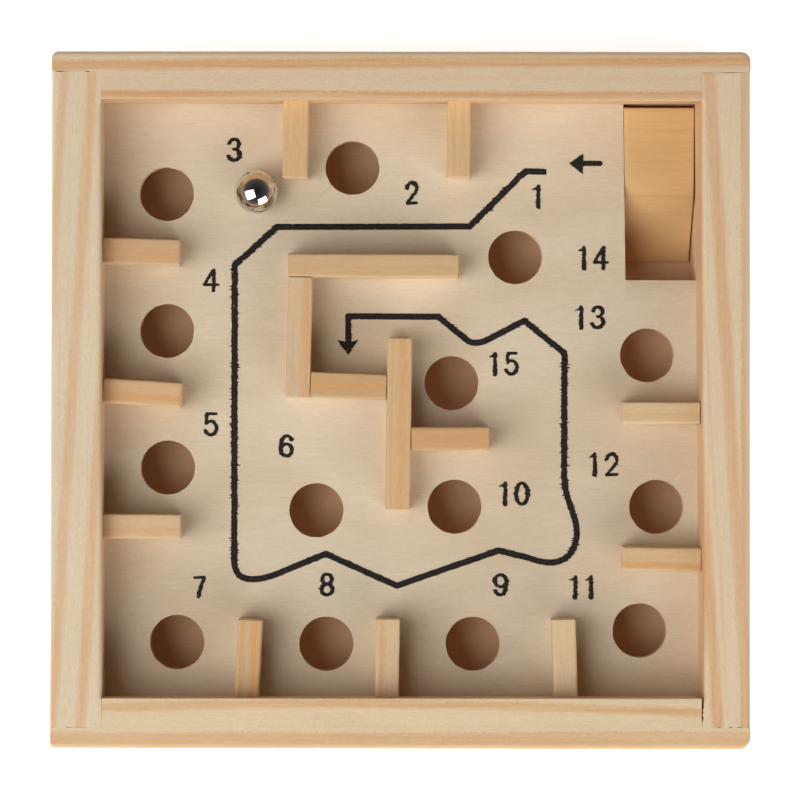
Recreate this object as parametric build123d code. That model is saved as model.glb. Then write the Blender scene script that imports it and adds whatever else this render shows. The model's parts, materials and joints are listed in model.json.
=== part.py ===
from build123d import *
import os

# A hand-held tilt maze: a square pine box with a drilled plywood board inside it, wall blocks
# glued on the board, a floor below the board and a ramp that leads the ball back up.
# Millimetres. +Z is up, +Y is the back rail, and the origin is the centre of the footprint.

# ---------- frame ----------
OUTER = 127.0              # outside of the square frame, both ways
RAIL_HEIGHT = 30.0
RAIL_THICKNESS = 8.75
TONGUE = 3.75              # what the corner rabbets leave of the back and front rails
OPEN_JOINT = 0.3           # the one corner joint that doesn't close, at the front right
GROOVE_DEPTH = 2.5
TOP_EDGE_RADIUS = 0.6
FOOT_EDGE_RADIUS = 0.3
CORNER_RADII = {(-1, 1): 1.2, (1, 1): 1.6, (1, -1): 2.0, (-1, -1): 0.9}   # (x side, y side)

# ---------- panels in the grooves ----------
PANEL_THICKNESS = 3.0
FLOOR_UNDERSIDE = 2.5
BOARD_TOP = 18.0
PANEL_CLEARANCE = 0.15     # between a panel's edge and the bottom of its groove

# ---------- holes and the notch ----------
HOLE_DIAMETER = 10.0
NOTCH_LEFT = 41.35
NOTCH_FRONT = 22.4
HOLE_CENTRES = {
    1: (21.3, 26.6),
    2: (-8.9, 43.1),
    3: (-43.3, 38.2),
    4: (-43.2, 12.8),
    5: (-43.0, -12.5),
    6: (-15.5, -20.4),
    7: (-41.2, -44.8),
    8: (-13.6, -45.1),
    9: (13.5, -45.1),
    10: (10.1, -19.7),
    11: (44.4, -42.6),
    12: (47.5, -19.7),
    13: (45.8, 8.4),
    15: (9.5, 3.2),
}

# ---------- return ramp ----------
RAMP_LEFT = 41.45
RAMP_RIGHT = 54.4
RAMP_BACK = 54.4
RAMP_CREST = 42.0          # where the level top ends
RAMP_FRONT = 26.3
RAMP_LIP = 1.2             # height of the front end above the floor

# ---------- wall blocks ----------
WALL_HEIGHT = 8.0
WALL_EDGE_RADIUS = 0.25
# name: centre x, centre y, length, width, turn of the long side from +X in degrees
WALLS = {
    "wall_back_left": (-19.35, 47.7, 13.8, 4.7, 89.5),
    "wall_back_right": (10.65, 47.85, 13.7, 4.3, 89.8),
    "wall_left_back": (-47.65, 27.15, 13.9, 4.7, -1.6),
    "wall_left_middle": (-47.35, 1.2, 14.1, 4.6, -3.4),
    "wall_left_front": (-47.45, -23.3, 14.05, 4.5, -0.3),
    "wall_front_left": (-27.8, -47.3, 13.8, 4.5, 87.4),
    "wall_front_middle": (-2.35, -47.25, 14.0, 4.4, 89.4),
    "wall_front_right": (30.15, -47.2, 13.9, 4.4, 91.8),
    "wall_right_back": (47.7, -2.4, 13.85, 4.1, -0.3),
    "wall_right_front": (47.65, -29.15, 13.85, 4.3, -1.1),
    "wall_middle_long_cross": (-5.05, 24.6, 31.3, 4.3, -0.2),
    "wall_middle_left": (-18.65, 11.35, 21.9, 4.5, 88.8),
    "wall_middle_short_cross": (-9.62, 2.55, 13.7, 4.6, -2.1),
    "wall_middle_long": (-0.35, -4.45, 31.4, 4.6, 89.3),
    "wall_middle_right": (9.2, -7.1, 14.0, 4.3, 0.5),
}

# ---------- ball ----------
BALL_RADIUS = 4.0
BALL_PLACE = (-26.6, 38.3)
BALL_LIFT = 0.05           # running clearance over the board

# ---------- worked out from the above ----------
HALF = OUTER / 2
INNER_HALF = HALF - RAIL_THICKNESS
SIDE_RAIL_LENGTH = OUTER - 2 * TONGUE
RABBET_DEPTH = RAIL_THICKNESS - TONGUE
PANEL_SIZE = 2 * (INNER_HALF + GROOVE_DEPTH - PANEL_CLEARANCE)
BOARD_UNDERSIDE = BOARD_TOP - PANEL_THICKNESS
FLOOR_TOP = FLOOR_UNDERSIDE + PANEL_THICKNESS
FROM_BELOW = (Align.CENTER, Align.CENTER, Align.MIN)


def corner_outline():
    """The footprint of the whole frame, with its four sanded corners, as a tall prism."""
    outline = Rectangle(OUTER, OUTER)
    for (x_side, y_side), radius in CORNER_RADII.items():
        corner = outline.vertices().sort_by_distance((x_side * HALF, y_side * HALF, 0))[0]
        outline = fillet(corner, radius)
    return extrude(outline, RAIL_HEIGHT)


def rail_bar(length):
    """A straight rail along X, its inner face towards -Y, standing on Z = 0, grooved inside."""
    section = Rectangle(RAIL_THICKNESS, RAIL_HEIGHT, align=(Align.CENTER, Align.MIN))
    top_corners = section.vertices().group_by(Axis.Y)[-1]
    section = fillet(top_corners, TOP_EDGE_RADIUS)
    foot_corners = section.vertices().group_by(Axis.Y)[0]
    section = fillet(foot_corners, FOOT_EDGE_RADIUS)
    bar = extrude(Plane.YZ * section, length / 2, both=True)
    inner_face = -RAIL_THICKNESS / 2
    for underside in (FLOOR_UNDERSIDE, BOARD_UNDERSIDE):
        groove = Box(length, 2 * GROOVE_DEPTH, PANEL_THICKNESS, align=FROM_BELOW)
        bar -= Pos(0, inner_face, underside) * groove
    return bar


def end_rail(y_side, right_gap=0.0):
    """The back (+1) or front (-1) rail: full length, rabbeted at both ends for the side rails."""
    bar = rail_bar(OUTER)
    for x_side, gap in ((-1, 0.0), (1, right_gap)):
        cut_length = RAIL_THICKNESS + gap
        rabbet = Box(cut_length, RABBET_DEPTH, RAIL_HEIGHT, align=FROM_BELOW)
        # the front rail is turned round, so its right end is cut here on the left
        x_centre = x_side * y_side * (HALF - cut_length / 2)
        bar -= Pos(x_centre, -(RAIL_THICKNESS - RABBET_DEPTH) / 2, 0) * rabbet
    turn = 0 if y_side > 0 else 180
    placed = Pos(0, y_side * (HALF - RAIL_THICKNESS / 2), 0) * Rot(0, 0, turn) * bar
    return placed & corner_outline()


def side_rail(x_side):
    """The right (+1) or left (-1) rail, which sits between the tongues of the end rails."""
    bar = rail_bar(SIDE_RAIL_LENGTH)
    return Pos(x_side * (HALF - RAIL_THICKNESS / 2), 0, 0) * Rot(0, 0, -90 * x_side) * bar


def plain_panel(underside):
    return Pos(0, 0, underside) * Box(PANEL_SIZE, PANEL_SIZE, PANEL_THICKNESS, align=FROM_BELOW)


def maze_board():
    """The playing board: plywood with the round holes and the corner notch over the ramp."""
    board = plain_panel(BOARD_UNDERSIDE)
    hole = Cylinder(HOLE_DIAMETER / 2, 3 * PANEL_THICKNESS)
    for x, y in HOLE_CENTRES.values():
        board -= Pos(x, y, BOARD_TOP - PANEL_THICKNESS / 2) * hole
    notch_corner = (Align.MIN, Align.MIN, Align.CENTER)
    notch = Box(HALF - NOTCH_LEFT, HALF - NOTCH_FRONT, 3 * PANEL_THICKNESS, align=notch_corner)
    return board - Pos(NOTCH_LEFT, NOTCH_FRONT, BOARD_TOP - PANEL_THICKNESS / 2) * notch


def return_ramp():
    """A solid block on the floor: level with the board at the back, curving down to the front."""
    lip_top = FLOOR_TOP + RAMP_LIP
    crest = (RAMP_CREST, BOARD_TOP)
    crest_handle = (RAMP_CREST - 5.5, BOARD_TOP)
    toe_handle = (RAMP_FRONT + 4.7, lip_top + 2.0)
    toe = (RAMP_FRONT, lip_top)
    slope = Bezier(crest, crest_handle, toe_handle, toe)
    rest = Polyline(
        toe,
        (RAMP_FRONT, FLOOR_TOP),
        (RAMP_BACK, FLOOR_TOP),
        (RAMP_BACK, BOARD_TOP),
        crest,
    )
    side = make_face([slope, rest])
    return extrude(Plane.YZ.offset(RAMP_LEFT) * side, RAMP_RIGHT - RAMP_LEFT)


def wall_block(x, y, length, width, turn):
    """One glued stick of square-cut wood with its top edges eased."""
    block = Box(length, width, WALL_HEIGHT, align=FROM_BELOW)
    block = fillet(block.faces().sort_by(Axis.Z)[-1].edges(), WALL_EDGE_RADIUS)
    return Pos(x, y, BOARD_TOP) * Rot(0, 0, turn) * block


def steel_ball():
    return Pos(*BALL_PLACE, BOARD_TOP + BALL_LIFT + BALL_RADIUS) * Sphere(BALL_RADIUS)


def build():
    nodes = {
        "frame_rail_back": end_rail(1),
        "frame_rail_front": end_rail(-1, right_gap=OPEN_JOINT),
        "frame_rail_left": side_rail(-1),
        "frame_rail_right": side_rail(1),
        "maze_board": maze_board(),
        "base_board": plain_panel(FLOOR_UNDERSIDE),
        "return_ramp": return_ramp(),
        "steel_ball": steel_ball(),
    }
    for name, placement in WALLS.items():
        nodes[name] = wall_block(*placement)
    return nodes


os.makedirs("parts", exist_ok=True)
for node_name, solid in build().items():
    export_step(solid, f"parts/{node_name}.step")
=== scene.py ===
import json
import math
from functools import partial

import bmesh
import bpy
import numpy as np
from mathutils import Matrix, Vector
from mathutils.geometry import delaunay_2d_cdt


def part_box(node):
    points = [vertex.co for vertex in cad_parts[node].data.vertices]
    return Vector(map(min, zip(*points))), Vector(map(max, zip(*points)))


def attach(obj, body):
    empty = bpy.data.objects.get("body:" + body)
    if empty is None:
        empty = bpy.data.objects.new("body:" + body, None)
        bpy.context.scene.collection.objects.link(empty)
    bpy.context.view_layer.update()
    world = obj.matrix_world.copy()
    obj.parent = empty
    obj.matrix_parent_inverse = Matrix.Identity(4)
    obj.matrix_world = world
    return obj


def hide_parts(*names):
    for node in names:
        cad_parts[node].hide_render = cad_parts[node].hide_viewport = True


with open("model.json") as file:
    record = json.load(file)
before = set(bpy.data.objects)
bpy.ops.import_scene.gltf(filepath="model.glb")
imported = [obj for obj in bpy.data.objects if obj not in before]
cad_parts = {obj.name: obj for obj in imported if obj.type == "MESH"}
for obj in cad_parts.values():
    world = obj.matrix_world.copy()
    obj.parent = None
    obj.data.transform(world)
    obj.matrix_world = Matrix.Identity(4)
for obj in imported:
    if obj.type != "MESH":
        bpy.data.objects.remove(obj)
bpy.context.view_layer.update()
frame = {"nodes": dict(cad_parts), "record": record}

# ---------- units and bodies ----------
MM = 0.001                       # the geometry below is written in millimetres
GAME_BODY = "game_box"
BALL_BODY = "ball"


def corners_mm(node):
    """Lowest and highest corner of a CAD node, in millimetres."""
    low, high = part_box(node)
    return np.array(low) / MM, np.array(high) / MM


def vertices_mm(node):
    """A CAD node's vertices, in millimetres."""
    return np.array([v.co for v in frame["nodes"][node].data.vertices]) / MM


# ---------- sizes read from the frame ----------
HALF = corners_mm("frame_rail_back")[1][0]
RAIL_HEIGHT = corners_mm("frame_rail_back")[1][2]
INNER_HALF = -corners_mm("frame_rail_left")[1][0]
RAIL_WIDTH = HALF - INNER_HALF
SIDE_RAIL_HALF = corners_mm("frame_rail_left")[1][1]
TONGUE = HALF - SIDE_RAIL_HALF
BOARD_BOTTOM = corners_mm("maze_board")[0][2]
BOARD_TOP = corners_mm("maze_board")[1][2]
BOARD_HALF = corners_mm("maze_board")[1][0]
FLOOR_BOTTOM = corners_mm("base_board")[0][2]
FLOOR_TOP = corners_mm("base_board")[1][2]
BALL_LOW, BALL_HIGH = corners_mm("steel_ball")
WALL_NODES = sorted(node for node in frame["nodes"] if node.startswith("wall_"))
STICK_HEIGHT = corners_mm(WALL_NODES[0])[1][2] - BOARD_TOP

# ---------- finish sizes ----------
PANEL_CLEARANCE = 0.4            # from a panel's edge to the bottom of its groove
OPEN_JOINT = 0.5                 # the front right joint doesn't close
END_REACH = 0.27                 # how far the end rails' tips stand out past the outline
FOOT_RADIUS = 0.3
OUTER_TOP_RADIUS = 0.85
END_EASE = 0.3
SANDING_WAVE = 0.02              # how uneven sanding leaves a rail's faces
EDGE_DENT = 0.08                 # depth of the worn places along a rail's outer top edge
STATION_STEP = 2.0               # spacing of the cross-sections along a rail
SIDE_STEP = 3.0                  # spacing of a cross-section's points up a rail's sides
TOP_STEP = 0.25                  # and across its top
JOINT_CHAMFER = 0.03
JOINT_DEPTH = 0.1                # length of a side rail's end that falls back in an open joint
SAWING_WAVE = 0.03               # how uneven sawing leaves a stick, the board or the ramp
STICK_EASE = 0.28
STICK_END_EASE = 0.16
CONTACT_GAP = 0.07               # left between a stick's end and what it stands against
NEAR = 0.7                       # a stick's end this close to a rail or stick is meant to meet it
RAMP_CLOSES_UP = 0.12            # how far the ramp's right side reaches towards the rail
RAMP_FRONT_EASE = 0.35
RAMP_EASE = 0.18
RIM_POINTS = 120                 # points round each hole
OUTLINE_STEP = 0.8               # spacing of points round the board's outside
INK_LIFT = 0.03                  # thickness of the printed ink above the board
INK_SINK = 0.02
NOTCH_SKEW = 0.45                # how far the notch's left side leans in towards its front corner
INK_CELL = 0.07                  # grid that the ink's outline is traced on
INK_MARGIN = 1.5                 # room left for the ink to creep, round each mark
INK_CREEP = 0.13                 # how far ink crept along the fibres
INK_DRIFT = 0.07                 # the same, over broader patches
INK_SWELL = 0.025                # how unevenly the ink's edge stands out
ROUTE_HALF_WIDTH = 0.58
ARROW_HALF_WIDTH = 0.5
NUMBER_HALF_WIDTH = 0.4
ROUTE_WHISKER = 0.6              # the furthest that ink ran along a fibre
ARROW_WHISKER = 0.2
NUMBER_WHISKER = 0.3


# ---------- mesh helpers ----------
def spread(start, end, step):
    """Evenly spaced values from start to end, about step apart, both ends included."""
    count = max(1, round(abs(end - start) / step))
    return list(np.linspace(start, end, count + 1))


def arc(centre, radii, start, end, steps):
    """Points on an ellipse's arc, angles in degrees."""
    angles = np.radians(np.linspace(start, end, steps + 1))
    return [(centre[0] + radii[0] * math.cos(a), centre[1] + radii[1] * math.sin(a)) for a in angles]


def ripples(t, wavelength, seed):
    """A smooth irregular curve between about -1 and 1."""
    phases = np.random.default_rng(seed).uniform(0, 2 * math.pi, 3)
    total = 0.0
    for stretch, phase in zip((1.0, 0.57, 0.31), phases):
        total = total + stretch * np.sin(2 * math.pi * np.asarray(t) / (wavelength * stretch) + phase)
    return total / 1.88


def round_over(distance, radius):
    """How far a rounded edge falls back, at this distance from the corner."""
    inside = max(0.0, radius - distance)
    return radius - math.sqrt(radius ** 2 - inside ** 2)


def wall_faces(rings, first):
    """Faces between closed rings whose points are numbered from first."""
    count = len(rings[0])
    faces = []
    for level in range(len(rings) - 1):
        start = first + level * count
        for i in range(count):
            a, b = start + i, start + (i + 1) % count
            faces.append((a, b, b + count, a + count))
    return faces


def loft(rings):
    """One closed skin over rings of points with the same count, capped at both ends."""
    count = len(rings[0])
    last = (len(rings) - 1) * count
    caps = [tuple(reversed(range(count))), tuple(range(last, last + count))]
    return np.concatenate(rings), wall_faces(rings, 0) + caps


def triangulated(points, edges):
    """Triangles over flat points that keep these edges: the points found, and the triangles."""
    found, _, triangles, *_ = delaunay_2d_cdt(points, edges, [], 0, 1e-7)
    return np.array([tuple(p) for p in found]), [tuple(t) for t in triangles]


def mesh_piece(name, points_mm, faces, body, slot, node=None, sharp_angle=40.0):
    """A clean closed mesh object that rides on a body and may stand for a CAD node."""
    mesh = bpy.data.meshes.new(name)
    mesh.from_pydata([tuple(p) for p in np.asarray(points_mm, float) * MM], [], faces)
    clean = bmesh.new()
    clean.from_mesh(mesh)
    bmesh.ops.remove_doubles(clean, verts=clean.verts, dist=0.002 * MM)
    bmesh.ops.dissolve_degenerate(clean, edges=clean.edges, dist=0.001 * MM)
    bmesh.ops.recalc_face_normals(clean, faces=clean.faces)
    clean.to_mesh(mesh)
    clean.free()
    mesh.polygons.foreach_set("use_smooth", [True] * len(mesh.polygons))
    mesh.set_sharp_from_angle(angle=math.radians(sharp_angle))
    piece = bpy.data.objects.new(name, mesh)
    bpy.context.scene.collection.objects.link(piece)
    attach(piece, body)
    if node:
        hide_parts(node)
    return piece


# ---------- frame rails ----------
RAILS = {
    # Outward direction, inner top radius, corner radii at the low and high end, and how far the
    # outer face, the top of the inner face and its foot stand out from square, at the low and the
    # high end. The low end is at the left on the end rails and at the front on the side rails.
    "frame_rail_back": {
        "out": (0, 1), "inner_radius": 0.18, "corners": (1.2, 1.6),
        "outer": (-0.05, 0.11), "inner_top": (0.09, 0.25), "inner_foot": (-0.2, -0.25),
    },
    "frame_rail_front": {
        "out": (0, -1), "inner_radius": 0.22, "corners": (0.9, 2.0),
        "outer": (0.06, 0.32), "inner_top": (0.38, 0.36), "inner_foot": (0.0, 0.0),
    },
    "frame_rail_left": {
        "out": (-1, 0), "inner_radius": 0.75, "corners": None,
        "outer": (0.31, 0.25), "inner_top": (0.45, 0.0), "inner_foot": (0.22, -0.16),
    },
    "frame_rail_right": {
        "out": (1, 0), "inner_radius": 0.75, "corners": None,
        "outer": (0.26, 0.26), "inner_top": (-0.6, -0.1), "inner_foot": (-0.68, 0.2),
    },
}
# Open places along the side rails' end joints, at the low and the high end: distance in from the
# outer face, half length and width
JOINT_GAPS = {
    "frame_rail_left": (
        [(3.15, 0.35, 0.2), (4.9, 1.2, 0.06)],
        [(6.3, 0.4, 0.17), (1.5, 0.8, 0.14)],
    ),
    "frame_rail_right": (
        [(6.0, 0.25, 0.2), (3.75, 0.3, 0.2), (2.1, 0.5, 0.14)],
        [(3.9, 1.6, 0.14), (1.3, 1.2, 0.04)],
    ),
}
# Torn wood in the open joint: distance in from the front face, and how far it sticks out
JOINT_CRUMBS = [
    (3.8, 0.46), (4.6, 0.4), (5.2, 0.2), (5.6, 0.1), (6.0, 0.42),
    (6.4, 0.12), (6.9, 0.36), (7.2, 0.05), (8.0, 0.1), (8.7, 0.0),
]


def rail_section(inner):
    """The outline of a rail's section: distance in from the outer face, and height."""
    foot, outer = FOOT_RADIUS, OUTER_TOP_RADIUS
    outline = arc((foot, foot), (foot, foot), 270, 180, 3)
    outline += [(0.0, z) for z in spread(2, RAIL_HEIGHT - 2, SIDE_STEP)]
    outline += arc((outer, RAIL_HEIGHT - outer), (outer, outer), 180, 90, 6)
    outline += [(v, RAIL_HEIGHT) for v in spread(1.2, RAIL_WIDTH - 1.2, TOP_STEP)]
    outline += arc((RAIL_WIDTH - inner, RAIL_HEIGHT - inner), (inner, inner), 90, 0, 6)
    outline += [(RAIL_WIDTH, z) for z in spread(RAIL_HEIGHT - 2, BOARD_TOP + 1, SIDE_STEP)]
    groove_bottom = HALF - BOARD_HALF - PANEL_CLEARANCE
    for low, high in ((BOARD_BOTTOM, BOARD_TOP), (FLOOR_BOTTOM, FLOOR_TOP)):
        outline += [(RAIL_WIDTH, high), (groove_bottom, high), (groove_bottom, low), (RAIL_WIDTH, low)]
    outline += arc((RAIL_WIDTH - foot, foot), (foot, foot), 0, -90, 3)
    return np.array(outline)


def sanded(section, s, seed):
    """The section at place s along a rail, with the slight unevenness of sanded wood."""
    ring = section.copy()
    outer_share = np.clip(1 - ring[:, 0] / RAIL_WIDTH, 0, 1)
    top_share = np.clip(ring[:, 1] / RAIL_HEIGHT, 0, 1) ** 12
    ring[:, 0] += SANDING_WAVE * (1 + ripples(s, 47, seed)) * outer_share ** 6
    ring[:, 1] -= SANDING_WAVE * (1 + ripples(s + 3 * ring[:, 0], 37, seed + 1)) * top_share
    dent = np.clip(ripples(s, 5.3, seed + 2) - 0.55, 0, 1)
    ring[:, 0] += EDGE_DENT * dent * (outer_share ** 8) * top_share
    return ring


def shift(rail, face, s):
    """How far one of a rail's faces stands out from square, at place s along it."""
    return float(np.interp(s, (-HALF, HALF), rail[face]))


def out_of_square(ring, width, rail, s):
    """Moves a section's outer and inner faces to where this rail really has them."""
    share = ring[:, 0] / width
    rise = np.clip((ring[:, 1] - BOARD_TOP) / (RAIL_HEIGHT - BOARD_TOP), 0, 1)
    foot, top = shift(rail, "inner_foot", s), shift(rail, "inner_top", s)
    inner = foot + (top - foot) * rise if width == RAIL_WIDTH else 0.0
    ring[:, 0] += share * inner - (1 - share) * shift(rail, "outer", s)


def rail_points(ring, s, outward):
    """World places of a section's points; s may differ from point to point."""
    s = np.broadcast_to(s, len(ring))
    out_x, out_y = outward
    out = HALF - ring[:, 0]
    return np.column_stack([out_x * out + abs(out_y) * s, out_y * out + abs(out_x) * s, ring[:, 1]])


def end_ring(rail, ring, place, end, width, radius, shoulder):
    """Shapes one ring of an end rail, whose tip is rounded off and stands out a little."""
    ring[:, 0] = np.minimum(ring[:, 0], width)
    cut = round_over(HALF - place, radius)
    ring[:, 0] = cut + ring[:, 0] * (width - cut) / width
    out_of_square(ring, width, rail, end * place)
    drop = round_over(HALF - place, END_EASE)
    ring[:, 1] = np.clip(ring[:, 1], drop, RAIL_HEIGHT - drop)
    stands_out = END_REACH * max(0.0, place - shoulder) / (HALF - shoulder)
    return rail_points(ring, end * (place + stands_out), rail["out"])


def end_rail(name, seed):
    """The back or front rail, full length, with a tongue past each shoulder."""
    rail = RAILS[name]
    section = rail_section(rail["inner_radius"])
    rings = []
    for end, radius in zip((-1, 1), rail["corners"]):
        side = RAILS["frame_rail_left" if end < 0 else "frame_rail_right"]
        open_joint = OPEN_JOINT if (name == "frame_rail_front" and end > 0) else 0.0
        shoulder = INNER_HALF - shift(side, "inner_top", HALF * rail["out"][1]) - open_joint
        tip = [HALF - radius * (1 - math.sin(a)) for a in np.linspace(0, math.pi / 2, 8)]
        tip += [HALF - END_EASE * share for share in (1.0, 0.6, 0.3, 0.1)]
        tongue = sorted(set(spread(shoulder, HALF - radius, STATION_STEP) + tip))
        stations = [(place, RAIL_WIDTH) for place in spread(0, shoulder, STATION_STEP)]
        stations += [(place, TONGUE) for place in tongue]
        half_rings = []
        for place, width in stations:
            ring = sanded(section, end * place, seed)
            half_rings.append(end_ring(rail, ring, place, end, width, radius, shoulder))
        rings = half_rings[:0:-1] if end < 0 else rings + half_rings
    return mesh_piece(name + "_wood", *loft(rings), GAME_BODY, "pine_rails", name)


def side_stations():
    """Places along a side rail, closest together where it meets the end rails."""
    half = [*spread(0, INNER_HALF - 0.6, STATION_STEP), INNER_HALF - 0.3, INNER_HALF]
    half += spread(INNER_HALF + 0.3, SIDE_RAIL_HALF - 0.3, 0.3)
    half += [SIDE_RAIL_HALF - 2 * JOINT_CHAMFER, SIDE_RAIL_HALF]
    return [-place for place in reversed(half[1:])] + half


def joint_gap(name, place, inward):
    """How far a side rail's end falls short of the end rail, at each distance in."""
    gap = np.zeros(len(inward))
    if abs(place) > SIDE_RAIL_HALF - JOINT_DEPTH:
        for centre, half_length, width in JOINT_GAPS[name][int(place > 0)]:
            gap += width * np.exp(-(((inward - centre) / half_length) ** 4))
    return gap


def side_rail(name, seed):
    """The left or right rail, whose ends meet the tongues of the end rails."""
    rail = RAILS[name]
    rings = []
    for place in side_stations():
        inner = np.interp(abs(place), (INNER_HALF - 0.6, INNER_HALF), (rail["inner_radius"], 0.06))
        ring = sanded(rail_section(inner), place, seed)
        inset = JOINT_CHAMFER if abs(place) == SIDE_RAIL_HALF else 0.0
        ring[:, 0] = np.clip(ring[:, 0], inset, RAIL_WIDTH - inset)
        ring[:, 1] = np.clip(ring[:, 1], inset, RAIL_HEIGHT - inset)
        gap = joint_gap(name, place, ring[:, 0])
        out_of_square(ring, RAIL_WIDTH, rail, place)
        if name == "frame_rail_right" and place < -INNER_HALF:
            torn = (ring[:, 0] > RAIL_WIDTH - 1.5) & (ring[:, 1] > RAIL_HEIGHT - 3)
            ring[torn, 0] += np.interp(HALF + place, *zip(*JOINT_CRUMBS))
        rings.append(rail_points(ring, place - math.copysign(1, place) * gap, rail["out"]))
    return mesh_piece(name + "_wood", *loft(rings), GAME_BODY, "pine_rails", name)


# ---------- sticks on the board ----------
def block_frame(node):
    """Centre, length, width and turn of a CAD block, from the four corners that it stands on."""
    corners = vertices_mm(node)
    foot = corners[corners[:, 2] < corners[:, 2].min() + 0.01]
    feet = np.unique(np.round(foot[:, :2], 3), axis=0)
    centre = (feet.min(0) + feet.max(0)) / 2
    order = np.argsort(np.arctan2(*(feet - centre).T[::-1]))
    feet = feet[order]
    sides = np.roll(feet, -1, axis=0) - feet
    lengths = np.linalg.norm(sides, axis=1)
    longest = sides[np.argmax(lengths)]
    longest = longest if longest[0] + longest[1] > 0 else -longest
    return centre, lengths.max(), lengths.min(), math.atan2(longest[1], longest[0])


BLOCKS = {node: block_frame(node) for node in WALL_NODES}


def to_rail(tip):
    """Distance from a place on the board to the nearest rail's inner face."""
    x, y = tip
    distances = []
    for rail in RAILS.values():
        out_x, out_y = rail["out"]
        face = HALF - RAIL_WIDTH - shift(rail, "inner_foot", abs(out_y) * x + abs(out_x) * y)
        distances.append(face - out_x * x - out_y * y)
    return min(distances)


def in_block(place, block):
    """Whether a place is inside another stick, seen from above."""
    centre, length, width, turn = block
    x, y = place - centre
    along = x * math.cos(turn) + y * math.sin(turn)
    across = y * math.cos(turn) - x * math.sin(turn)
    return abs(along) < length / 2 and abs(across) < width / 2


def reach(node, end):
    """How much further a stick's end goes to meet the rail or stick that it stands against."""
    centre, length, width, turn = BLOCKS[node]
    along = end * np.array([math.cos(turn), math.sin(turn)])
    skew = width / 2 * min(abs(along[0]), abs(along[1]))
    others = [block for other, block in BLOCKS.items() if other != node]
    for step in np.arange(0, NEAR, 0.02):
        tip = centre + (length / 2 + step) * along
        if to_rail(tip) < skew or any(in_block(tip, block) for block in others):
            return max(0.0, step - CONTACT_GAP)
    return 0.0


def stick_section(width, height, eases):
    """The outline of a stick's section, with the top edges' own eases at the left and right."""
    left, right = eases
    outline = [(-width / 2, 0.0), *[(-width / 2, z) for z in spread(1, height - 1, 2)]]
    outline += arc((-width / 2 + left, height - left), (left, left), 180, 90, 4)
    outline += [(v, height) for v in spread(-width / 2 + 0.8, width / 2 - 0.8, 0.8)]
    outline += arc((width / 2 - right, height - right), (right, right), 90, 0, 4)
    outline += [*[(width / 2, z) for z in spread(height - 1, 1, 2)], (width / 2, 0.0)]
    return np.array(outline)


def stick(node, seed):
    """One glued stick: square-cut wood with eased edges and sawn ends."""
    centre, length, width, turn = BLOCKS[node]
    low, high = corners_mm(node)
    height = high[2] - low[2]
    eases = np.random.default_rng(seed).uniform(0.8, 1.5, 2) * STICK_EASE
    section = stick_section(width, height, eases)
    rings = []
    low_reach, high_reach = reach(node, -1), reach(node, 1)
    tips = [length / 2 - STICK_END_EASE * share for share in (1.0, 0.5, 0.2, 0.0)]
    middle = spread(-length / 2 + 0.8, length / 2 - 0.8, 1.2)
    for place in [-tip for tip in reversed(tips)] + middle + tips:
        ring = section.copy()
        drop = round_over(length / 2 - abs(place), STICK_END_EASE)
        wander = SAWING_WAVE * (1 + ripples(place + 9 * np.sign(ring[:, 0]), 9, seed))
        ring[:, 0] *= 1 - 2 * (drop + wander) / width
        sag = 0.004 * (1 + ripples(place, 11, seed + 1))
        ring[:, 1] = np.minimum(ring[:, 1] * (1 - sag), height - drop)
        place += high_reach if place > length / 4 else -low_reach if place < -length / 4 else 0.0
        along, across = math.cos(turn), math.sin(turn)
        x = centre[0] + place * along - ring[:, 0] * across
        y = centre[1] + place * across + ring[:, 0] * along
        rings.append(np.column_stack([x, y, low[2] + ring[:, 1]]))
    piece = mesh_piece(node + "_stick", *loft(rings), GAME_BODY, "wall_wood", node)
    return piece, centre, turn


# ---------- maze board ----------
def hole_centres():
    """Hole centres by number, from the record's openings."""
    found = {}
    for opening in frame["record"]["physics"]["openings"]:
        if opening["name"].startswith("hole_"):
            low, high = np.array(opening["box_m"]) / MM
            found[int(opening["name"][5:])] = (low + high)[:2] / 2
    return found


HOLES = hole_centres()
# The CAD board's vertices seen from above
BOARD_POINTS = np.unique(np.round(vertices_mm("maze_board")[:, :2], 3), axis=0)
HOLE_RADIUS = float(np.min(np.linalg.norm(BOARD_POINTS - HOLES[6], axis=1)))


def notch_corner():
    """The inner corner of the notch: the one outline point that is on no edge and no hole."""
    inside = BOARD_POINTS[np.abs(BOARD_POINTS).max(axis=1) < BOARD_HALF - 1]
    for centre in HOLES.values():
        inside = inside[np.linalg.norm(inside - centre, axis=1) > HOLE_RADIUS + 1]
    return inside[0]


NOTCH_X, NOTCH_Y = notch_corner()


def notch_side(y):
    """The notch's left side at y. It was sawn a little out of square."""
    return NOTCH_X + NOTCH_SKEW * (BOARD_HALF - y) / (BOARD_HALF - NOTCH_Y)


# The sawn or drilled edge of the plywood: share of the thickness from the top, and how far the
# edge falls back there, in millimetres. The glue lines show as shallow grooves.
PLY_EDGE = [
    (0.0, 0.14), (0.015, 0.05), (0.05, 0.0), (0.29, 0.0), (0.31, 0.06), (0.33, 0.03),
    (0.67, 0.03), (0.69, 0.06), (0.71, 0.0), (0.95, 0.0), (0.985, 0.05), (1.0, 0.15),
]


def chips(angles, seed, count=5, depth=0.16):
    """Small breaks in a drilled rim: how deep they are at each angle."""
    rng = np.random.default_rng(seed)
    total = np.zeros_like(angles)
    for place, size in zip(rng.uniform(0, 2 * math.pi, count), rng.uniform(0.3, 1.0, count)):
        away = np.abs((angles - place + math.pi) % (2 * math.pi) - math.pi)
        total += depth * size * np.exp(-((away / (0.03 + 0.06 * size)) ** 2))
    return total


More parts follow.
